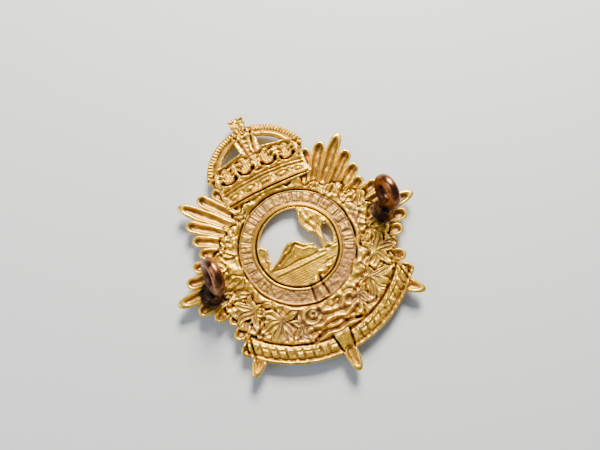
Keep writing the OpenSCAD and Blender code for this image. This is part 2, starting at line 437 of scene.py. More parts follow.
def ring(x, y):
    """The ring and its scene. At the lower left the outer groove is shallow and the inner one deep."""
    rho, a = np.hypot(x, y - RING_RISE), np.arctan2(y - RING_RISE, x)
    groove = bell(rho - GROOVE_R, 0.24)
    worn = 0.5 - 0.5 * np.cos(a - math.radians(25))
    z = ring_section(rho) + ring_band(x, y) + 0.36 * groove * worn
    view = hills_relief(x, y) + water_relief(x, y) + tree_relief(x, y)
    z = z + view * ease(7.2, 6.9, rho)
    low_left = 0.5 + 0.5 * np.cos(a - math.radians(215))
    z = z - 0.22 * bell(rho - 7.47, 0.22) * low_left
    return post_relief(z, x, y)


# ---------------------------------------------------------------------------------------------
# The crown


def crown_edge(x, y):
    """Outline of the crown: arches, sloping sides, orb and cross."""
    dome = np.maximum(np.hypot(x, y - ARCH_Y) - ARCH_R, EAVE_Y - y)
    ax = np.abs(x)
    side = np.interp(y, [CROWN_LOW, 15.8, EAVE_Y - 0.1, EAVE_Y + 0.4], [8.3, CIRCLET_HALF, 9.75, 9.75])
    skirt = np.maximum.reduce([ax - side, CROWN_LOW - y, y - EAVE_Y - 0.05])
    orb = np.hypot(x, y - ORB_Y) - 1.3
    post_half = 0.62 + 0.16 * ease(0.5, 1.3, np.abs(y - CROSS_Y))
    upright = box_edge(x, y - (ORB_Y + 1.15), post_half, 1.25)
    bar_half = 0.5 + 0.25 * ease(0.6, 1.5, ax)
    bar = box_edge(x, y - CROSS_Y, 1.45, bar_half)
    return np.minimum.reduce([dome, skirt, orb, upright, bar - 0.02])


def window_edge(x, y):
    """The two openings under the crown's arches."""
    ax = np.abs(x)
    arch = np.hypot(x, y - ARCH_Y) - ARCH_IN
    sill = (20.95 - y) - (ax - 2.1) * 0.20
    rib = 2.05 + 0.12 * np.maximum(y - 21.0, 0.0) - ax
    return np.maximum.reduce([arch, sill, rib]) - 0.03


def arch_relief(x, y):
    """Beads along the outer edge of the arches and a smooth roll inside them."""
    rho, a = np.hypot(x, y - ARCH_Y), np.arctan2(y - ARCH_Y, x)
    beads = np.cos(a * 104.0)
    outer = ease(8.95, 9.2, rho) * ease(EAVE_Y - 0.2, EAVE_Y + 0.3, y)
    z = outer * (-0.06 + 0.12 * beads * ease(9.2, 9.6, rho) * ease(10.45, 10.1, rho))
    z = z - 0.22 * bell(rho - 9.05, 0.18) + 0.22 * bell(rho - 8.50, 0.34)
    return z + 0.05 * grain(x, y, 0.7, 20) * outer


def rib_relief(x, y):
    """The middle arch: two smooth ribs with a row of pearls between them."""
    ax = np.abs(x)
    rib = 1.05 + 0.036 * np.maximum(y - 19.5, 0.0) ** 2
    up = ease(19.6, 20.1, y) * ease(25.6, 25.1, y)
    z = 0.26 * bell(ax - rib - 0.25, 0.32) - 0.34 * bell(ax - rib + 0.30, 0.19)
    pearl = np.hypot(x, np.mod(y, 0.95) - 0.47)
    z = z - 0.22 * ease(0.46, 0.10, pearl) + 0.08 * grain(x, y, 0.5, 21)
    inside = ease(rib + 1.0, rib + 0.7, ax)
    return z * up * inside


def ornament_relief(x, y):
    """Hatched lining with deep curved hems between a middle cross and two lilies."""
    z = np.zeros(np.shape(x))
    ax = np.abs(x)
    for px, py in ((2.35, 18.5), (5.9, 17.95)):
        u, v = ax - px, y - py
        panel = ease(0.1, -0.1, box_edge(u, v - 0.1, 1.05, 1.2))
        z = z + panel * (-0.16 + 0.08 * np.cos(u * 14.0))
        hem = from_arc(ax, y, (px, py), 1.62, 212, 328)
        z = z - 0.58 * bell(hem, 0.26) + 0.22 * bell(hem - 0.56, 0.26) * ease(0.0, -0.4, v)
        cap = from_arc(ax, y, (px, py + 0.35), 1.35, 35, 145)
        z = z - 0.30 * bell(cap, 0.24)
    cross = np.minimum(box_edge(x, y - 18.3, 0.34 + 0.3 * np.abs(y - 18.3), 1.35),
                       box_edge(x, y - 18.3, 0.95, 0.28 + 0.3 * ax))
    z = z + 0.30 * ease(0.12, -0.16, cross) - 0.22 * bell(cross - 0.20, 0.18)
    for lx, ly in ((4.15, 18.4), (8.0, 17.6)):
        stem = from_line(ax, y, (lx, ly - 1.5), (lx, ly + 1.0))
        curl = from_arc(ax, y, (lx - 0.75, ly + 0.25), 0.55, -60, 150)
        other = from_arc(ax, y, (lx + 0.75, ly + 0.25), 0.55, 30, 240)
        lily = np.minimum.reduce([stem, curl, other])
        z = z + 0.30 * bell(lily, 0.30) - 0.20 * bell(lily - 0.52, 0.19)
    return z * ease(15.9, 16.3, y) * ease(20.3, 19.9, y)


def circlet_relief(x, y):
    """The jewelled band at the foot of the crown."""
    bow = 0.012 * x * x
    v = y + bow
    z = -0.32 * bell(v - 15.95, 0.18) + 0.16 * bell(v - 15.60, 0.2) - 0.22 * bell(v - 15.22, 0.17)
    z = z - 0.52 * bell(v - 12.90 - bow * 0.4, 0.22) + 0.16 * bell(v - 12.45 - bow * 0.4, 0.2)
    z = z + 0.14 * bell(v - 13.32 - bow * 0.3, 0.18)
    w = y - 14.2 + bow
    ax = np.abs(x)
    table = box_edge(x, w, 0.82, 0.36) - 0.06
    oval = (np.hypot((ax - 3.35) / 1.0, w / 0.48) - 1.0) * 0.5
    end = (np.hypot((ax - 6.5) / 0.75, w / 0.42) - 1.0) * 0.45
    for jewel in (table, oval, end):
        z = z - 0.20 * bell(jewel, 0.17) + 0.10 * ease(-0.08, -0.28, jewel)
    for sx in (1.85, 4.95):
        spot = np.minimum(box_edge(ax - sx, w, 0.12, 0.42), box_edge(ax - sx, w, 0.36, 0.12))
        z = z - 0.14 * bell(spot - 0.06, 0.17)
    return z * ease(16.4, 16.2, y) * ease(8.2, 7.8, ax)


def crown(x, y):
    """Height of the crown's back."""
    ax = np.abs(x)
    z = np.full(np.shape(x), 2.42)
    above = ease(EAVE_Y - 0.3, EAVE_Y + 0.3, y)
    z = z + arch_relief(x, y) * np.maximum(above, ease(7.2, 8.0, ax) * ease(16.0, 17.5, y))
    z = z + rib_relief(x, y) + ornament_relief(x, y) + circlet_relief(x, y)
    lip = window_edge(x, y)
    z = z + 0.22 * bell(lip - 0.20, 0.22)
    orb = np.hypot(x, y - ORB_Y)
    z = z - 0.30 * ease(1.05, 0.2, orb) - 0.16 * bell(orb - 1.25, 0.18)
    collar = from_arc(x, y, (0.0, ORB_Y + 0.4), 1.35, 200, 340)
    z = z - 0.36 * bell(collar, 0.18)
    arm = np.minimum(box_edge(x, y - CROSS_Y, 0.12, 0.9), box_edge(x, y - CROSS_Y, 1.1, 0.12))
    z = z - 0.24 * ease(0.42, 0.0, arm) * ease(ORB_Y + 0.5, ORB_Y + 0.8, y)
    return z + 0.045 * grain(x, y, 0.6, 22) + 0.05 * grain(x, y, 1.7, 23)


# ---------------------------------------------------------------------------------------------
# The ribbon


def ribbon_place(x, y):
    """Distance along the ribbon from its middle, distance from its centre, and outline."""
    rho = np.hypot(x, y - RIBBON_Y)
    a = np.arctan2(x, RIBBON_Y - y)
    edge = np.maximum.reduce([rho - RIBBON_OUT, RIBBON_IN - rho, (np.abs(a) - RIBBON_HALF) * rho])
    return a * rho, rho, edge


def ribbon(x, y):
    """Rolled borders with a row of plain blocks of uneven width between them."""
    along, rho, edge = ribbon_place(x, y)
    z = np.full(np.shape(x), 2.40)
    z = z + 0.10 * bell(rho - 21.90, 0.24) - 0.15 * bell(rho - 21.52, 0.17)
    pitch = 1.48
    cell = np.floor(along / pitch).astype(int)
    u = np.mod(along, pitch) - pitch / 2 + 0.06 * ((cell * 3) % 3 - 1)
    wide = 0.40 + 0.14 * ((cell * 5) % 3) / 2.0
    block = box_edge(u, rho - 20.46, wide + 0.04, 0.76) - 0.04
    z = z + 0.15 * ease(0.10, -0.10, block) - 0.15 * bell(block - 0.14, 0.18)
    notch = bell(rho - 20.46 - 0.3 * ((cell * 3) % 3 - 1), 0.17) * ((cell * 7) % 4 < 3)
    z = z - 0.12 * notch * ease(0.0, -0.1, block)
    z = z + 0.07 * grain(x, y, 0.5, 31)
    fold = np.abs(along) - RIBBON_HALF * RIBBON_MID
    return z + 0.10 * bell(fold + 0.4, 0.3) - 0.24 * bell(fold + 1.0, 0.2)


# ---------------------------------------------------------------------------------------------
# The whole badge


def sheet_edge(x, y):
    """Distance outside the badge's outline and inside its openings."""
    along, rho, scroll = ribbon_place(x, y)
    web = np.maximum(rho - RIBBON_IN - 0.4, np.abs(along) - (RIBBON_HALF - 0.02) * rho)
    solid = np.minimum.reduce([rays_edge(x, y), np.hypot(x, y) - 15.9, crown_edge(x, y), scroll, web])
    return np.maximum.reduce([solid, -sky_edge(x, y), -window_edge(x, y)])


def middle_tab(z, star, x, y):
    """The plain tab and the long point that cross the ribbon at the bottom."""
    side = np.abs(x) - np.maximum(1.45 - 0.16 * (-16.2 - y), 0.95)
    low = ease(-16.0, -16.4, y) * ease(-20.0, -19.2, y)
    z = lay(z, 2.60 - 0.14 * bell(x, 0.5), ease(0.12, -0.12, side) * low)
    z = z - 0.45 * bell(side - 0.12, 0.2) * low
    z = z - 0.30 * bell(y + 18.9 + 0.5 * np.abs(x), 0.22) * ease(1.2, 0.9, np.abs(x))
    return lay(z, star - 0.1, ease(-18.9, -19.3, y + 0.5 * np.abs(x)) * ease(1.35, 1.15, np.abs(x)))


def relief(x, y):
    """Height of the badge's back."""
    x, y = x + 0.06 * grain(x, y, 1.7, 43), y + 0.06 * grain(x, y, 1.9, 44)
    star = rays(x, y)
    edge = wreath_edge(x, y)
    z = lay(star, wreath(x, y), ease(0.14, -0.14, edge))
    z = z - 0.36 * bell(edge - 0.10, 0.24)
    plain = np.full(np.shape(x), 2.12) + 0.10 * grain(x, y, 0.7, 8)
    below_ring = ease(5.8, 4.8, np.abs(x)) * ease(-9.9, -10.5, y) * ease(17.4, 16.9, -y)
    z = lay(z, curls(plain, x, y), below_ring)

    along, rho, scroll = ribbon_place(x, y)
    in_span = ease(0.3, -0.3, np.abs(along) - RIBBON_HALF * 19.3)
    z = lay(z, ribbon(x, y), ease(0.24, 0.10, scroll))
    z = z - 0.66 * bell(rho - RIBBON_IN + 0.05, 0.24) * in_span
    ends = np.abs(along) - RIBBON_HALF * RIBBON_MID - 0.15
    z = z - 0.30 * bell(ends, 0.2) * ease(0.4, 0.0, np.abs(rho - 20.7) - 1.5)
    z = middle_tab(z, star, x, y)

    top = crown_edge(x, y)
    foot = y - 12.45 + 0.02 * x * x
    z = lay(z, crown(x, y), ease(0.30, 0.14, top) * ease(-0.3, 0.0, foot))
    z = z - 0.06 * bell(np.abs(x) - 8.6, 0.30) * ease(12.2, 12.8, y) * ease(16.2, 15.6, y)

    rim = np.hypot(x, y - RING_RISE) + 0.34 + 0.34 * grain(x, y, 1.4, 7) + 0.25 * ease(-2, 6, x)
    z = lay(z, ring(x, y), ease(11.6, 11.0, rim))
    z = z + 0.016 * grain(x, y, 0.3, 41) + 0.04 * grain(x, y, 1.6, 42)
    border = -sheet_edge(x, y)
    return z - 0.12 * ease(0.30, 0.0, border) ** 2


# ---------------------------------------------------------------------------------------------
# Meshes from the relief


def settle(edge, x, y, reach):
    """Moves points onto the outline along its steepest way, no further than reach."""
    probe = 0.02
    px, py = x.copy(), y.copy()
    for _ in range(5):
        e = edge(px, py)
        gx = (edge(px + probe, py) - edge(px - probe, py)) / (2 * probe)
        gy = (edge(px, py + probe) - edge(px, py - probe)) / (2 * probe)
        g = np.maximum(gx * gx + gy * gy, 0.05)
        px, py = px - e * gx / g, py - e * gy / g
        far = np.hypot(px - x, py - y)
        pull = np.minimum(1.0, reach / np.maximum(far, 1e-9))
        px, py = x + (px - x) * pull, y + (py - y) * pull
    return px, py


def soften(z, cells):
    """Average over a square of cells, done by running sums along each axis."""
    for axis in (0, 1):
        pad = [(cells, cells) if a == axis else (0, 0) for a in (0, 1)]
        run = np.cumsum(np.pad(z, pad, mode="edge"), axis=axis)
        n = z.shape[axis]
        high = np.take(run, np.arange(n) + 2 * cells, axis=axis)
        low = np.take(run, np.maximum(np.arange(n) - 1, 0), axis=axis)
        low = np.where((np.arange(n) > 0).reshape((-1, 1) if axis == 0 else (1, -1)), low, 0.0)
        z = (high - low) / (2 * cells + 1)
    return z


def cells_inside(edge_value, pitch):
    """Squares of the grid that lie inside, without any that meet only at a corner."""
    keep = edge_value < 0.45 * pitch
    cell = keep[:-1, :-1] & keep[1:, :-1] & keep[:-1, 1:] & keep[1:, 1:]
    for _ in range(12):
        c = np.pad(cell, 1)
        ne, nw, se, sw = c[1:, 1:], c[1:, :-1], c[:-1, 1:], c[:-1, :-1]
        rising, falling = ne & sw & ~nw & ~se, nw & se & ~ne & ~sw
        if not (rising.any() or falling.any()):
            break
        cell = cell & ~rising[:-1, :-1] & ~falling[:-1, 1:]
    return cell


def covered_grid(edge, low, high, pitch):
    """Square cells inside an outline: which they are, their corners, and the corners on the rim."""
    columns = np.arange(low[0], high[0] + pitch, pitch)
    rows = np.arange(low[1], high[1] + pitch, pitch)
    gx, gy = np.meshgrid(columns, rows)
    cell = cells_inside(edge(gx, gy), pitch)
    around = np.pad(cell, 1)
    count = around[1:, 1:].astype(int) + around[1:, :-1] + around[:-1, 1:] + around[:-1, :-1]
    used = count > 0
    number = np.full(gx.shape, -1)
    number[used] = np.arange(used.sum())
    rim = np.flatnonzero(count[used] < 4)
    level = soften(relief(gx, gy), round(0.6 / pitch))
    return cell, number, gx[used], gy[used], level[used], rim


def settle_rim(edge, x, y, rim, pitch):
    """Moves the rim onto the outline, and its badge-edge points in again by the rounding.

    Gives the outline's own places, and which of them are on the badge's edge.
    """
    x[rim], y[rim] = settle(edge, x[rim], y[rim], 0.95 * pitch)
    rim_x, rim_y = x[rim].copy(), y[rim].copy()
    outer = np.abs(sheet_edge(rim_x, rim_y)) < 0.02
    in_x, in_y = settle(lambda a, b: edge(a, b) + EDGE_ROUND, rim_x, rim_y, 0.12)
    x[rim], y[rim] = np.where(outer, in_x, rim_x), np.where(outer, in_y, rim_y)
    return rim_x, rim_y, outer


def split_cells(number, cell, x, y):
    """Two triangles for each cell, cut along whichever diagonal keeps them both larger."""
    a, b = number[:-1, :-1][cell], number[:-1, 1:][cell]
    c, d = number[1:, 1:][cell], number[1:, :-1][cell]

    def area(i, j, k):
        return (x[j] - x[i]) * (y[k] - y[i]) - (x[k] - x[i]) * (y[j] - y[i])

    one_way = np.minimum(area(a, b, c), area(a, c, d)) >= np.minimum(area(a, b, d), area(b, c, d))
    first = np.where(one_way[:, None], np.stack([a, b, c], 1), np.stack([a, b, d], 1))
    second = np.where(one_way[:, None], np.stack([a, c, d], 1), np.stack([b, c, d], 1))
    return np.concatenate([first, second])


def lone_edges(faces, total):
    """Edges that only one triangle has, each in that triangle's own direction."""
    edges = np.concatenate([faces[:, [0, 1]], faces[:, [1, 2]], faces[:, [2, 0]]])
    forwards = edges[:, 0] * total + edges[:, 1]
    backwards = edges[:, 1] * total + edges[:, 0]
    return edges[~np.isin(forwards, backwards)]


def wall_faces(rings):
    """Triangles between each ring of edges and the next."""
    walls = []
    for (p, q), (r, s) in zip(rings, rings[1:]):
        walls += [np.stack([q, p, r], 1), np.stack([q, r, s], 1)]
    return walls


def triangle_mesh(name, points, faces):
    """A smooth mesh from arrays of points, in millimetres from the star's centre, and triangles."""
    mesh = bpy.data.meshes.new(name)
    mesh.vertices.add(len(points))
    places = (points + (0.0, STAR_Y, 0.0)) * MM
    mesh.vertices.foreach_set("co", places.astype(np.float32).ravel())
    mesh.loops.add(len(faces) * 3)
    mesh.loops.foreach_set("vertex_index", faces.astype(np.int32).ravel())
    mesh.polygons.add(len(faces))
    mesh.polygons.foreach_set("loop_start", np.arange(0, len(faces) * 3, 3, dtype=np.int32))
    mesh.update(calc_edges=True)
    mesh.polygons.foreach_set("use_smooth", np.ones(len(faces), bool))
    return mesh


def struck_mesh(name, edge, low, high, pitch):
    """One closed piece of the sheet: struck back, matching front, and rounded rims."""
    cell, number, x, y, level, rim = covered_grid(edge, low, high, pitch)
    rim_x, rim_y, outer = settle_rim(edge, x, y, rim, pitch)
    back = relief(x, y)
    front = np.maximum(back - SHEET_T, 0.0)
    drop = np.where(outer, EDGE_ROUND, SEAM_ROUND)
    upper = np.stack([rim_x, rim_y, back[rim] - drop], 1)
    lower = np.stack([rim_x, rim_y, np.maximum(front[rim] + drop, 0.01)], 1)
    points = np.concatenate([np.stack([x, y, back], 1), np.stack([x, y, front], 1), upper, lower])

    total = len(x)
    top = split_cells(number, cell, x, y)
    border = lone_edges(top, total)
    place = np.full(total, -1)
    place[rim] = np.arange(len(rim))
    i, j = border.T
    on_upper = (2 * total + place[i], 2 * total + place[j])
    on_lower = (on_upper[0] + len(rim), on_upper[1] + len(rim))
    walls = wall_faces([(i, j), on_upper, on_lower, (i + total, j + total)])
    mesh = triangle_mesh(name, points, np.concatenate([top, top[:, ::-1] + total] + walls))

    seam = border[~(outer[place[i]] & outer[place[j]])]
    sharpen(mesh, np.concatenate([seam, seam + total]))
    # Near the badge's outline and on its outer walls the value is lifted into the bright range: a
    # painted highlight over real edge wear.
    hollow = back - level + 0.12 * ease(0.38, 0.10, -sheet_edge(x, y))
    wall = np.where(outer, 0.22, hollow[rim])
    write_attribute(mesh, "hollow", np.concatenate([hollow, -hollow, wall, wall]))
    write_attribute(mesh, "dull", dullness(points[:, 0], points[:, 1]))
    write_attribute(mesh, "scorch", scorching(points[:, 0], points[:, 1]) * (points[:, 2] > 1.2))
    return mesh


def sharpen(mesh, pairs):
    """Keeps the edges between these pairs of points crisp."""
    ends = np.empty(len(mesh.edges) * 2, np.int32)
    mesh.edges.foreach_get("vertices", ends)
    ends = np.sort(ends.reshape(-1, 2).astype(np.int64), axis=1)
    wanted = np.sort(pairs.astype(np.int64), axis=1)
    span = len(mesh.vertices)
    crisp = np.isin(ends[:, 0] * span + ends[:, 1], wanted[:, 0] * span + wanted[:, 1])
    mesh.attributes.new("sharp_edge", "BOOLEAN", "EDGE").data.foreach_set("value", crisp)


def write_attribute(mesh, name, values):
    """Stores one value for each point, for the gilding metal to read."""
    layer = mesh.attributes.new(name, "FLOAT", "POINT")
    layer.data.foreach_set("value", np.asarray(values, np.float32))


def dullness(x, y):
    """How far the metal has gone pink-brown: most in the ring's band and the lower right."""
    rho = np.hypot(x, y - RING_RISE)
    band = ease(7.9, 8.3, rho) * ease(10.8, 10.3, rho)
    low = ease(-3.0, -8.0, y) * ease(17.4, 16.4, np.hypot(x, y))
    right = ease(8.0, 12.0, x) * ease(-11.0, -5.0, y) * ease(6.0, 1.0, y)
    patches = ease(-0.25, 0.45, grain(x, y, 2.3, 51))
    below = (0.85 * low + 0.75 * right) * (0.35 + 0.65 * patches)
    return np.clip(0.70 * band + below + 0.22 * patches, 0.0, 1.0)


def scorching(x, y):
    """Soot and flux around the two loops' feet."""
    result = np.zeros(np.shape(x))
    for node in ("left_braze", "right_braze"):
        low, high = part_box(node)
        fx, fy = (low.x + high.x) / 2 / MM, (low.y + high.y) / 2 / MM - STAR_Y
        d = np.hypot(x - fx, y - fy) + 0.55 * grain(x, y, 1.0, 52) + 0.25 * grain(x, y, 0.4, 53)
        result = np.maximum(result, ease(3.6, 2.0, d))
    return result


# ---------------------------------------------------------------------------------------------
# Finishes


class Value:
    """One output of a finish's node, so that a finish's values can be written as sums."""

    def __init__(self, finish, socket):
        self.finish = finish
        self.socket = socket

    def maths(self, operation, a, b):
        return self.finish.node("ShaderNodeMath", {"operation": operation}, {0: a, 1: b})

    def __add__(self, other):
        return self.maths("ADD", self, other)

    def __radd__(self, other):
        return self.maths("ADD", other, self)

    def __sub__(self, other):
        return self.maths("SUBTRACT", self, other)

    def __rsub__(self, other):
        return self.maths("SUBTRACT", other, self)

    def __mul__(self, other):
        return self.maths("MULTIPLY", self, other)

    def __rmul__(self, other):
        return self.maths("MULTIPLY", other, self)


class Finish:
    """A material whose nodes are made one call at a time."""

    def __init__(self, name, **shader_values):
        self.material = bpy.data.materials.new(name)
        self.material.use_nodes = True
        self.nodes = self.material.node_tree.nodes
        self.links = self.material.node_tree.links
        self.shader = self.nodes["Principled BSDF"]
        self.finish(**shader_values)

    def node(self, kind, settings=None, inputs=None, out=0):
        """Adds a node: its settings first, then what goes into it. Gives one of its outputs."""
        made = self.nodes.new(kind)
        for key, value in (settings or {}).items():
            setattr(made, key, value)
        for key, value in (inputs or {}).items():
            self.feed(made.inputs[key], value)
        return Value(self, made.outputs[out])

    def feed(self, socket, value):
        """Links a node's output to a socket, or sets the socket's own value."""
        if isinstance(value, Value):
            self.links.new(value.socket, socket)
        else:
            socket.default_value = value

    def place(self):
        return self.node("ShaderNodeTexCoord", out="Object")

    def attribute(self, name):
        return self.node("ShaderNodeAttribute", {"attribute_name": name}, out="Fac")

    def noise(self, scale, detail=4.0, roughness=0.55):
        values = {"Vector": self.place(), "Scale": scale, "Detail": detail, "Roughness": roughness}
        return self.node("ShaderNodeTexNoise", inputs=values)

    def between(self, value, low, high):
        """0 at low, 1 at high, and smooth between them."""
        settings = {"interpolation_type": "SMOOTHSTEP"}
        limits = {"Value": value, "From Min": low, "From Max": high}
        return self.node("ShaderNodeMapRange", settings, limits)

    def blend(self, amount, a, b):
        return self.node("ShaderNodeMix", {"data_type": "RGBA"}, {"Factor": amount, 6: a, 7: b}, out=2)

    def bump(self, height, strength, distance):
        values = {"Height": height, "Strength": strength, "Distance": distance}
        return self.node("ShaderNodeBump", inputs=values)

    def finish(self, **values):
        """Feeds the shader's sockets, named in small letters, and gives the material."""
        for socket, value in values.items():
            self.feed(self.shader.inputs[socket.replace("_", " ").title()], value)
        return self.material


def gilding_metal():
    """Struck brass: bright on raised places and edges, from real wear with a painted highlight; brown
    going near-black in the hollows, from real tarnish and grime with painted shade; pink where it is
    dull.
    """
    f = Finish("gilding metal", metallic=1.0)
    hollow = f.attribute("hollow")
    dull = f.attribute("dull")
    scorch = f.attribute("scorch")
    fine = f.noise(1900.0, 5.0)
    broad = f.noise(240.0, 4.0)
    depth = hollow + (fine - 0.5) * 0.12 + (broad - 0.5) * 0.06
    gold = f.blend(f.between(broad, 0.35, 0.65), (0.50, 0.27, 0.016, 1), (0.70, 0.42, 0.035, 1))
    pink = f.blend(f.between(fine, 0.35, 0.65), (0.27, 0.135, 0.05, 1), (0.44, 0.24, 0.09, 1))
    ground = f.blend(dull, gold, pink)
    # Painted highlight: raised places and edges go bright yellow, on top of real rubbing wear.
    worn = f.blend(f.between(depth, 0.02, 0.18), ground, (1.0, 0.66, 0.09, 1))
    # Painted shade: hollows go brown and the deepest near-black, on top of real tarnish and grime.
    brown = f.blend(f.between(depth, -0.02, -0.18), worn, (0.27, 0.125, 0.04, 1))
    grime_and_shade = f.blend(f.between(depth, -0.15, -0.42), brown, (0.038, 0.017, 0.009, 1))
    burnt = f.blend(f.between(fine, 0.3, 0.7), (0.035, 0.018, 0.012, 1), (0.14, 0.07, 0.04, 1))
    colour = f.blend(scorch * 0.92, grime_and_shade, burnt)
    polish = f.between(depth, 0.02, 0.18) * 0.12
    rough = 0.44 + dull * 0.10 + (fine - 0.5) * 0.18 + scorch * 0.15 - polish
    tooth = f.noise(2600.0, 4.0) * 0.6 + f.noise(800.0, 3.0) * 0.4
    return f.finish(base_color=colour, roughness=rough, normal=f.bump(tooth, 0.45, 0.00006))


def copper_wire(name, foot, crest):
    """Drawn copper, browned all over, going near-black towards the foot."""
    f = Finish(name, metallic=1.0)
    split = f.node("ShaderNodeSeparateXYZ", inputs={0: f.place()}, out=2)
    height = f.between(split + (f.noise(420.0) - 0.5) * 0.0022, foot, crest)
    fine = f.noise(1500.0, 5.0)
    mottle = f.between(f.noise(520.0, 3.0), 0.38, 0.62)
    skin = f.blend(mottle, (0.13, 0.042, 0.020, 1), (0.36, 0.145, 0.065, 1))
    # Near-black at the foot, blending up to the brown skin at the crest: darker towards the bottom.
    dark_foot = f.blend(f.between(fine, 0.35, 0.65), (0.012, 0.008, 0.010, 1), (0.07, 0.032, 0.025, 1))
    colour = f.blend(height, dark_foot, skin)
    rough = 0.30 + (fine - 0.5) * 0.22 + (1.0 - height) * 0.20
    tooth = fine * 0.6 + f.noise(430.0, 3.0) * 0.4
    return f.finish(base_color=colour, roughness=rough, normal=f.bump(tooth, 0.35, 0.00008))


def braze_metal():
    """Brazing alloy under burnt flux."""
    f = Finish("braze metal", metallic=0.85)
    fine = f.noise(1300.0, 5.0)
    crust = f.between(f.noise(650.0, 4.0), 0.46, 0.66)
    colour = f.blend(crust, (0.030, 0.017, 0.014, 1), (0.22, 0.11, 0.055, 1))
    rough = 0.42 + (fine - 0.5) * 0.25 + (1.0 - crust) * 0.12
    return f.finish(base_color=colour, roughness=rough, normal=f.bump(fine, 0.5, 0.00012))


# ---------------------------------------------------------------------------------------------
# Camera, lights and floor

# Where the camera stands and what its middle sees, in millimetres from the star's centre
CAMERA_AT = Vector((-6.53, -13.04, 81.0))
CAMERA_SEES = Vector((2.05, 3.78, 2.0))
CAMERA_RIGHT = Vector((0.8958, -0.4445, 0.0))
CAMERA_LENS = 26.86


def from_star(v):
    """A place in the badge's own frame, in metres."""
    return Vector((v.x, v.y + STAR_Y, v.z)) * MM


def add_camera():
    """A camera above the badge, turned so that the crown leans to the left."""
    camera = bpy.data.objects.new("camera", bpy.data.cameras.new("camera"))
    camera.data.lens = CAMERA_LENS
    camera.data.sensor_width = 36.0
    camera.data.clip_start = 0.005
    back = (from_star(CAMERA_AT) - from_star(CAMERA_SEES)).normalized()
    right = (CAMERA_RIGHT - back * CAMERA_RIGHT.dot(back)).normalized()
    up = back.cross(right)
    turn = Matrix((right, up, back)).transposed().to_4x4()
    camera.matrix_world = Matrix.Translation(from_star(CAMERA_AT)) @ turn
    bpy.context.collection.objects.link(camera)
    bpy.context.scene.camera = camera


def add_lamp(name, at, size, power, tint):
    """A soft square lamp that points at the badge."""
    lamp = bpy.data.objects.new(name, bpy.data.lights.new(name, "AREA"))
    lamp.data.size = size
    lamp.data.energy = power
    lamp.data.color = tint
    lamp.location = at
    lamp.rotation_euler = (-Vector(at)).to_track_quat("-Z", "Y").to_euler()
    bpy.context.collection.objects.link(lamp)


def add_floor():
    """A plain pale floor at the height that the badge rests on."""
    mesh = bpy.data.meshes.new("floor")
    half = 1.5
    corners = [(-half, -half, 0), (half, -half, 0), (half, half, 0), (-half, half, 0)]
    mesh.from_pydata(corners, [], [(0, 1, 2, 3)])
    floor = bpy.data.objects.new("floor", mesh)
    bpy.context.collection.objects.link(floor)
    f = Finish("pale floor", roughness=0.8, base_color=(0.57, 0.61, 0.68, 1))
    mesh.materials.append(f.material)


def add_world():
    """Dim, even light from all round."""
    world = bpy.data.worlds.new("studio")
    world.use_nodes = True
    background = world.node_tree.nodes["Background"]
    background.inputs["Color"].default_value = (0.94, 0.96, 1.0, 1)
    background.inputs["Strength"].default_value = 0.27
    bpy.context.scene.world = world


add_camera()
add_world()
add_floor()
add_lamp("key", (0.13, 0.19, 0.20), 0.11, 3.4, (1.0, 0.93, 0.76))
add_lamp("fill", (-0.25, 0.05, 0.20), 0.25, 0.5, (0.95, 0.97, 1.0))


# ---------------------------------------------------------------------------------------------
# The struck sheet, in six closed pieces that mostly meet in grooves of the strike

# The ring's outer seam, and the crown's lowest seam on the middle line
SEAM_R = GROOVE_R + 0.01
SEAM_Y = 12.90


def crown_seam(x, y):
    """Below zero above the groove at the crown's foot and within its ends."""
    return np.maximum(SEAM_Y - 0.0072 * x * x - y, np.abs(x) - 8.5 - 3.0 * ease(15.6, 17.0, y))


def ribbon_seam(x, y):
    """Below zero under the ribbon's upper groove, out to its two ends."""
    rho, a = np.hypot(x, y - RIBBON_Y), np.abs(np.arctan2(x, RIBBON_Y - y))
    return np.maximum(RIBBON_IN - 0.05 - rho, (a - RIBBON_HALF - 0.02) * rho)


def ring_rho(x, y):
    """Distance from the ring's centre."""
    return np.hypot(x, y - RING_RISE)


def scene_part(x, y):
    """Hills, water and tree, inside the ring's inner groove."""
    return np.maximum(sheet_edge(x, y), ring_rho(x, y) - INNER_R)


def ring_part(x, y):
    """The band between the ring's two grooves."""
    return np.maximum.reduce([sheet_edge(x, y), ring_rho(x, y) - SEAM_R, INNER_R - ring_rho(x, y)])


def crown_part(x, y):
    """The crown, down to the groove at its foot."""
    return np.maximum(sheet_edge(x, y), crown_seam(x, y))


def ribbon_part(x, y):
    """The ribbon, with the lowest long points that pass it."""
    return np.maximum.reduce([sheet_edge(x, y), ribbon_seam(x, y), SEAM_R - ring_rho(x, y)])


def side_part(side):
    """The rays and leaves on one side of the ring."""

    def edge(x, y):
        beyond = [SEAM_R - ring_rho(x, y), -crown_seam(x, y), -ribbon_seam(x, y), -side * x]
        return np.maximum.reduce([sheet_edge(x, y)] + beyond)

    return edge


def add_piece(name, mesh, finish, node):
    """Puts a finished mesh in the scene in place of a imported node."""
    mesh.materials.append(finish)
    piece = bpy.data.objects.new(name, mesh)
    bpy.context.collection.objects.link(piece)
    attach(piece, "root")
    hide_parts(node)


# How far a grid runs past the badge's edge
BEYOND = 0.3
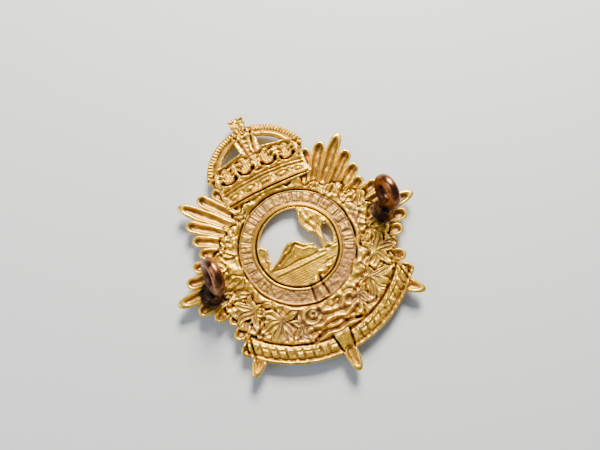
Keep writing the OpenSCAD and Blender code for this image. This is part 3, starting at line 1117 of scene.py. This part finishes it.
# Each piece's outline, two corners of the grid that covers it, and the grid's pitch
SHEET_PIECES = [
    ("scene", scene_part, (-7.8, -7.2), (7.8, 8.4), 0.078),
    ("ring", ring_part, (-11.0, -10.4), (11.0, 11.6), 0.078),
    ("crown", crown_part, (-10.8, 11.8), (10.8, CROWN_TOP + BEYOND), 0.085),
    ("ribbon", ribbon_part, (-18.5, -STAR_R - BEYOND), (18.5, -8.0), 0.095),
    ("left_rays", side_part(-1), (-STAR_R - BEYOND, -18.0), (BEYOND, 20.0), 0.098),
    ("right_rays", side_part(1), (-BEYOND, -18.0), (STAR_R + BEYOND, 20.0), 0.098),
]

metal = gilding_metal()
for name, outline, low, high, pitch in SHEET_PIECES:
    add_piece(name, struck_mesh(name, outline, low, high, pitch), metal, "struck_sheet")


# ---------------------------------------------------------------------------------------------
# The wire loops and the braze that holds them

WIRE_R = 1.02
# How much nearer the eye's middle the wire is set than its bore says
LAP = 0.08
RING_STEPS = 48
SHANK_STEPS = 9
COLLAR_STEPS = 120
COLLAR_RINGS = 25


def loop_course(mount, node):
    """Middle line of a loop's ring and of its shank, in millimetres."""
    centre = np.array(mount["pos_m"]) / MM
    axis = np.array(mount["axis"])
    low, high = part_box(node)
    foot = np.array([(low.x + high.x) / 2 / MM, (low.y + high.y) / 2 / MM, high.z / MM - 2.0])
    down = foot - centre
    down = down - axis * down.dot(axis)
    down = down / np.linalg.norm(down)
    across = np.cross(axis, down)
    radius = mount["dims"]["r_mm"] + WIRE_R - LAP
    turn = np.linspace(0.0, 2 * math.pi, RING_STEPS, endpoint=False)[:, None]
    bent = radius * (1.0 + 0.02 * np.sin(2 * turn + 0.7))
    ring_line = centre + bent * (np.cos(turn) * down + np.sin(turn) * across)
    top = centre + radius * down
    shank_line = foot + (top - foot) * np.linspace(0.0, 1.0, SHANK_STEPS)[:, None]
    return ring_line, shank_line


def add_course(curve, points, radii, closed):
    """Adds one run of points, in millimetres, to a curve."""
    spline = curve.splines.new("POLY")
    spline.points.add(len(points) - 1)
    for point, place, radius in zip(spline.points, points, radii):
        point.co = (*(place * MM), 1.0)
        point.radius = radius
    spline.use_cyclic_u = closed


# The bent wire's nodes, and the links between them: a node and its output, a node and its input
WIRE_NODES = {
    "in": "NodeGroupInput",
    "even": "GeometryNodeResampleCurve",
    "section": "GeometryNodeCurvePrimitiveCircle",
    "sweep": "GeometryNodeCurveToMesh",
    "normal": "GeometryNodeInputNormal",
    "noise": "ShaderNodeTexNoise",
    "centred": "ShaderNodeMath",
    "depth": "ShaderNodeMath",
    "offset": "ShaderNodeVectorMath",
    "move": "GeometryNodeSetPosition",
    "real": "GeometryNodeRealizeInstances",
    "paint": "GeometryNodeSetMaterial",
    "out": "NodeGroupOutput",
}
WIRE_LINKS = [
    ("in", "Course", "even", "Curve"),
    ("even", 0, "sweep", "Curve"),
    ("in", "Wire radius", "section", "Radius"),
    ("section", 0, "sweep", "Profile Curve"),
    ("noise", 0, "centred", 0),
    ("centred", 0, "depth", 0),
    ("in", "Dent", "depth", 1),
    ("normal", 0, "offset", 0),
    ("depth", 0, "offset", "Scale"),
    ("sweep", 0, "move", "Geometry"),
    ("offset", 0, "move", "Offset"),
    ("move", 0, "real", "Geometry"),
    ("real", 0, "paint", "Geometry"),
    ("in", "Metal", "paint", "Material"),
    ("paint", 0, "out", "Wire"),
]


def bent_wire_tree():
    """Sweeps a round section along the course, with the slight dents of hand work."""
    tree = bpy.data.node_groups.new("bent wire", "GeometryNodeTree")
    face = tree.interface
    face.new_socket("Course", in_out="INPUT", socket_type="NodeSocketGeometry")
    face.new_socket("Wire radius", in_out="INPUT", socket_type="NodeSocketFloat")
    face.new_socket("Dent", in_out="INPUT", socket_type="NodeSocketFloat")
    face.new_socket("Metal", in_out="INPUT", socket_type="NodeSocketMaterial")
    face.new_socket("Wire", in_out="OUTPUT", socket_type="NodeSocketGeometry")
    made = {key: tree.nodes.new(kind) for key, kind in WIRE_NODES.items()}
    made["even"].inputs["Count"].default_value = 90
    made["section"].inputs["Resolution"].default_value = 40
    made["sweep"].inputs["Fill Caps"].default_value = True
    made["noise"].inputs["Scale"].default_value = 420.0
    made["noise"].inputs["Detail"].default_value = 2.0
    made["centred"].operation = "SUBTRACT"
    made["centred"].inputs[1].default_value = 0.5
    made["depth"].operation = "MULTIPLY"
    made["offset"].operation = "SCALE"
    for source, out, target, into in WIRE_LINKS:
        tree.links.new(made[source].outputs[out], made[target].inputs[into])
    return tree


def give_inputs(modifier, values):
    """Sets a node modifier's inputs, found by name, through their identifiers."""
    for item in modifier.node_group.interface.items_tree:
        if item.in_out == "INPUT" and item.name in values:
            modifier[item.identifier] = values[item.name]


def wire_mesh(name, tree, course, copper):
    """One loop: its ring and shank swept as wire and melted into one skin."""
    ring_line, shank_line = course
    curve = bpy.data.curves.new(name + " course", "CURVE")
    curve.dimensions = "3D"
    add_course(curve, ring_line, [1.0] * RING_STEPS, True)
    flare = 1.12 + 0.10 * np.linspace(-0.5, 0.5, SHANK_STEPS) ** 2
    add_course(curve, shank_line, flare, False)
    bent = bpy.data.objects.new(name + " course", curve)
    bpy.context.collection.objects.link(bent)
    sweep = bent.modifiers.new("wire", "NODES")
    sweep.node_group = tree
    give_inputs(sweep, {"Wire radius": WIRE_R * MM, "Dent": 0.12 * MM, "Metal": copper})
    melt = bent.modifiers.new("melt", "REMESH")
    melt.mode = "VOXEL"
    melt.voxel_size = 0.095 * MM
    melt.use_smooth_shade = True
    smooth = bent.modifiers.new("smooth", "SMOOTH")
    smooth.factor = 0.5
    smooth.iterations = 9
    mesh = bpy.data.meshes.new_from_object(bent.evaluated_get(bpy.context.evaluated_depsgraph_get()))
    bpy.data.objects.remove(bent)
    mesh.materials.clear()
    return mesh


def collar_faces(rows, around):
    """Faces of a closed collar: its top, its bottom and the wall between them.

    Points 0 and 1 are the middles of the top and the bottom. The top's rings follow from the inside
    out, and then the bottom's.
    """
    size = rows * around
    faces = []
    for j in range(around):
        k = (j + 1) % around
        faces += [(0, 2 + j, 2 + k), (1, 2 + size + k, 2 + size + j)]
        for row in range(rows - 1):
            a, b = 2 + row * around + j, 2 + row * around + k
            faces += [(a, a + around, b + around, b)]
            faces += [(a + size, b + size, b + size + around, a + size + around)]
        a, b = 2 + (rows - 1) * around + j, 2 + (rows - 1) * around + k
        faces += [(a, a + size, b + size, b)]
    return faces


def collar_mesh(name, node, seed):
    """The lumpy collar of alloy that climbs from the sheet to the shank."""
    low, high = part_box(node)
    cx, cy = (low.x + high.x) / 2 / MM, (low.y + high.y) / 2 / MM - STAR_Y
    reach = (high.x - low.x) / 2 / MM
    around = np.linspace(0, 2 * math.pi, COLLAR_STEPS, endpoint=False)
    turn, t = np.meshgrid(around, np.linspace(0, 1, COLLAR_RINGS + 1)[1:])
    wide = reach * (1.0 + 0.10 * grain(3 * np.cos(turn), 3 * np.sin(turn), 1.1, seed))
    x, y = cx + t * wide * np.cos(turn), cy + t * wide * np.sin(turn)
    seat = relief(x, y)
    climb = np.clip((t - 0.40) / 0.60, 0.0, 1.0)
    lumps = 0.13 * grain(x, y, 0.8, seed + 1) + 0.07 * grain(x, y, 0.36, seed + 2)
    crest = 1.25 * (1.0 - climb) ** 2.3 + lumps * ease(1.0, 0.85, t)
    shoulder = np.full(np.shape(x), high.z / MM - 1.15)
    top = lay(shoulder, seat + 0.03, ease(0.55, 0.95, t)) + crest - 0.06 * (t > 0.99)
    bottom = seat - 0.45

    middles = [(cx, cy, top[0].mean()), (cx, cy, bottom[0].mean())]
    rings = [np.stack([x.ravel(), y.ravel(), z.ravel()], 1) for z in (top, bottom)]
    points = (np.concatenate([middles] + rings) + (0.0, STAR_Y, 0.0)) * MM
    mesh = bpy.data.meshes.new(name)
    mesh.from_pydata(points.tolist(), [], collar_faces(COLLAR_RINGS, COLLAR_STEPS))
    mesh.polygons.foreach_set("use_smooth", np.ones(len(mesh.polygons), bool))
    return mesh


mounts = {mount["name"]: mount for mount in frame["record"]["mounts"]}
wire_tree = bent_wire_tree()
alloy = braze_metal()
for side, seed in (("left", 71), ("right", 81)):
    loop, braze = side + "_loop", side + "_braze"
    low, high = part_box(loop)
    copper = copper_wire(side + " copper", low.z + 1.6 * MM, high.z + 0.2 * MM)
    course = loop_course(mounts[side + "_eye"], braze)
    wire, collar = side + "_wire", side + "_collar"
    add_piece(wire, wire_mesh(wire, wire_tree, course, copper), copper, loop)
    add_piece(collar, collar_mesh(collar, braze, seed), alloy, braze)
